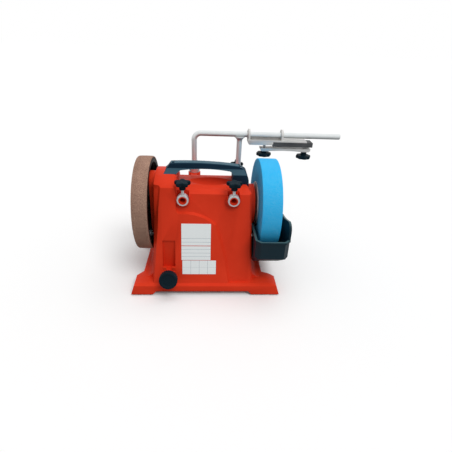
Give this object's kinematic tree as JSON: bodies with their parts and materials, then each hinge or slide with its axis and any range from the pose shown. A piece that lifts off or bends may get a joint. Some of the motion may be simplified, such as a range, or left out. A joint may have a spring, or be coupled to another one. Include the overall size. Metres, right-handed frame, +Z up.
{
  "type": "wet sharpening machine",
  "caption": "Bench wet grinder with a blue stone in a water trough, a leather honing wheel, a bent tool support bar, a sliding jig, clamp knobs and a carry handle.",
  "frame": {"origin": "on the bench, under the middle of the axle, midway between the four feet", "axes": "+X along the axle towards the grindstone, +Y to the back, +Z up"},
  "size_m": [0.4595, 0.2546, 0.3101],
  "materials": {
    "red_plastic": "satin moulded",
    "petrol_plastic": "satin moulded",
    "dark_plastic": "satin moulded",
    "signal_plastic": "gloss",
    "chrome": "bright",
    "steel": "turned",
    "stone": "bonded grit",
    "leather": "raw",
    "rubber": "matte",
    "aluminium": "turned",
    "bronze": "sintered",
    "painted_steel": "satin"
  },
  "bodies": {
    "machine": {"housing": "red_plastic", "base_plate": "painted_steel", "base_screws": "steel", "rubber_feet": "rubber", "handle": "petrol_plastic", "handle_screws": "steel", "front_collar_left": "chrome", "front_collar_right": "chrome", "rear_collar_left": "chrome", "rear_collar_right": "chrome", "shaft_bush_left": "bronze", "shaft_bush_right": "bronze", "trough_pegs": "steel", "pivot_bracket": "painted_steel", "pivot_pin": "steel", "capacitor": "aluminium", "capacitor_clip": "painted_steel", "switch_body": "dark_plastic", "cable_gland": "dark_plastic"},
    "spindle": {"main_shaft": "steel", "grindstone": "stone", "stone_flange_inner": "aluminium", "stone_flange_outer": "aluminium", "stone_nut": "steel", "honing_drum": "dark_plastic", "leather_tyre": "leather", "drive_ring": "rubber", "honing_washer": "steel", "honing_nut": "steel"},
    "motor": {"motor_stator": "painted_steel", "motor_bell_left": "aluminium", "motor_bell_right": "aluminium", "motor_cradle": "painted_steel"},
    "motor_rotor": {"rotor": "steel", "friction_spindle": "steel", "cooling_fan": "dark_plastic"},
    "support": {"tool_support": "chrome"},
    "jig_slider": {"jig_bushes": "steel"},
    "jig": {"jig_bracket": "steel", "jig_jaw": "steel", "jig_studs": "steel"},
    "jig_clamp": {"jig_clamp_bar": "steel"},
    "jig_nut_left": {"jig_knob_left": "dark_plastic"},
    "jig_nut_right": {"jig_knob_right": "dark_plastic"},
    "trough": {"water_trough": "petrol_plastic"},
    "torque_screw": {"torque_rod": "steel"},
    "torque_grip": {"torque_knob": "dark_plastic"},
    "rocker": {"power_rocker": "signal_plastic"},
    "front_screw_left": {"front_stud_left": "steel"},
    "front_grip_left": {"front_star_knob_left": "dark_plastic"},
    "front_screw_right": {"front_stud_right": "steel"},
    "front_grip_right": {"front_star_knob_right": "dark_plastic"},
    "rear_screw_left": {"rear_stud_left": "steel"},
    "rear_grip_left": {"rear_star_knob_left": "dark_plastic"},
    "rear_screw_right": {"rear_stud_right": "steel"},
    "rear_grip_right": {"rear_star_knob_right": "dark_plastic"}
  },
  "joints": [
    {"name": "spindle_spin", "type": "hinge", "parent": "machine", "child": "spindle", "pos_m": [0, 0, 0.163], "axis": [1, 0, 0], "continuous": true},
    {"name": "motor_pivot", "type": "hinge", "parent": "machine", "child": "motor", "pos_m": [-0.03, 0.066, 0.05], "axis": [-1, 0, 0], "range_deg": [0, 2]},
    {"name": "motor_spin", "type": "hinge", "parent": "motor", "child": "motor_rotor", "pos_m": [-0.03, 0, 0.0853], "axis": [1, 0, 0], "continuous": true},
    {"name": "support_lift", "type": "slide", "parent": "machine", "child": "support", "axis": [0, 0, 1], "range_m": [0, 0.06]},
    {"name": "jig_slide", "type": "slide", "parent": "support", "child": "jig_slider", "axis": [1, 0, 0], "range_m": [0, 0.12]},
    {"name": "jig_tilt", "type": "hinge", "parent": "jig_slider", "child": "jig", "pos_m": [0.129, 0.078, 0.2976], "axis": [1, 0, 0], "range_deg": [-45, 60]},
    {"name": "clamp_open", "type": "slide", "parent": "jig", "child": "jig_clamp", "axis": [0, 0, -1], "range_m": [0, 0.003]},
    {"name": "jig_knob_left_turn", "type": "hinge", "parent": "jig_clamp", "child": "jig_nut_left", "pos_m": [0.129, 0.078, 0.254], "axis": [0, 0, -1], "range_deg": [0, 1080]},
    {"name": "jig_knob_right_turn", "type": "hinge", "parent": "jig_clamp", "child": "jig_nut_right", "pos_m": [0.222, 0.078, 0.25], "axis": [0, 0, -1], "range_deg": [0, 1080]},
    {"name": "trough_drop", "type": "slide", "parent": "machine", "child": "trough", "axis": [0, 0, -1], "range_m": [0, 0.012]},
    {"name": "torque_advance", "type": "slide", "parent": "machine", "child": "torque_screw", "axis": [0, -0.9707, 0.2402], "range_m": [0, 0.002]},
    {"name": "torque_turn", "type": "hinge", "parent": "torque_screw", "child": "torque_grip", "pos_m": [-0.077, -0.128, 0.047], "axis": [0, -0.9707, 0.2402], "range_deg": [0, 720]},
    {"name": "rocker_tip", "type": "hinge", "parent": "machine", "child": "rocker", "pos_m": [0.04, 0.09351, 0.07548], "axis": [-1, 0, 0], "range_deg": [0, 12]},
    {"name": "front_left_advance", "type": "slide", "parent": "machine", "child": "front_screw_left", "axis": [0, 0, 1], "range_m": [0, 0.002]},
    {"name": "front_left_turn", "type": "hinge", "parent": "front_screw_left", "child": "front_grip_left", "pos_m": [-0.0481, -0.0635, 0.23], "axis": [0, 0, 1], "range_deg": [0, 720]},
    {"name": "front_right_advance", "type": "slide", "parent": "machine", "child": "front_screw_right", "axis": [0, 0, 1], "range_m": [0, 0.002]},
    {"name": "front_right_turn", "type": "hinge", "parent": "front_screw_right", "child": "front_grip_right", "pos_m": [0.0534, -0.0635, 0.23], "axis": [0, 0, 1], "range_deg": [0, 720]},
    {"name": "rear_left_advance", "type": "slide", "parent": "machine", "child": "rear_screw_left", "axis": [0, 1, 0], "range_m": [0, 0.002]},
    {"name": "rear_left_turn", "type": "hinge", "parent": "rear_screw_left", "child": "rear_grip_left", "pos_m": [-0.03, 0.11, 0.214], "axis": [0, 1, 0], "range_deg": [0, 720]},
    {"name": "rear_right_advance", "type": "slide", "parent": "machine", "child": "rear_screw_right", "axis": [0, 1, 0], "range_m": [0, 0.002]},
    {"name": "rear_right_turn", "type": "hinge", "parent": "rear_screw_right", "child": "rear_grip_right", "pos_m": [0.0715, 0.11, 0.214], "axis": [0, 1, 0], "range_deg": [0, 720]}
  ],
  "couplings": [
    {"joint": "motor_spin", "follows": "spindle_spin", "ratio": 12.143},
    {"joint": "jig_knob_left_turn", "follows": "clamp_open", "rad_per_m": 6283},
    {"joint": "jig_knob_right_turn", "follows": "clamp_open", "rad_per_m": 6283},
    {"joint": "torque_turn", "follows": "torque_advance", "rad_per_m": 6283},
    {"joint": "front_left_turn", "follows": "front_left_advance", "rad_per_m": 6283},
    {"joint": "front_right_turn", "follows": "front_right_advance", "rad_per_m": 6283},
    {"joint": "rear_left_turn", "follows": "rear_left_advance", "rad_per_m": 6283},
    {"joint": "rear_right_turn", "follows": "rear_right_advance", "rad_per_m": 6283}
  ]
}
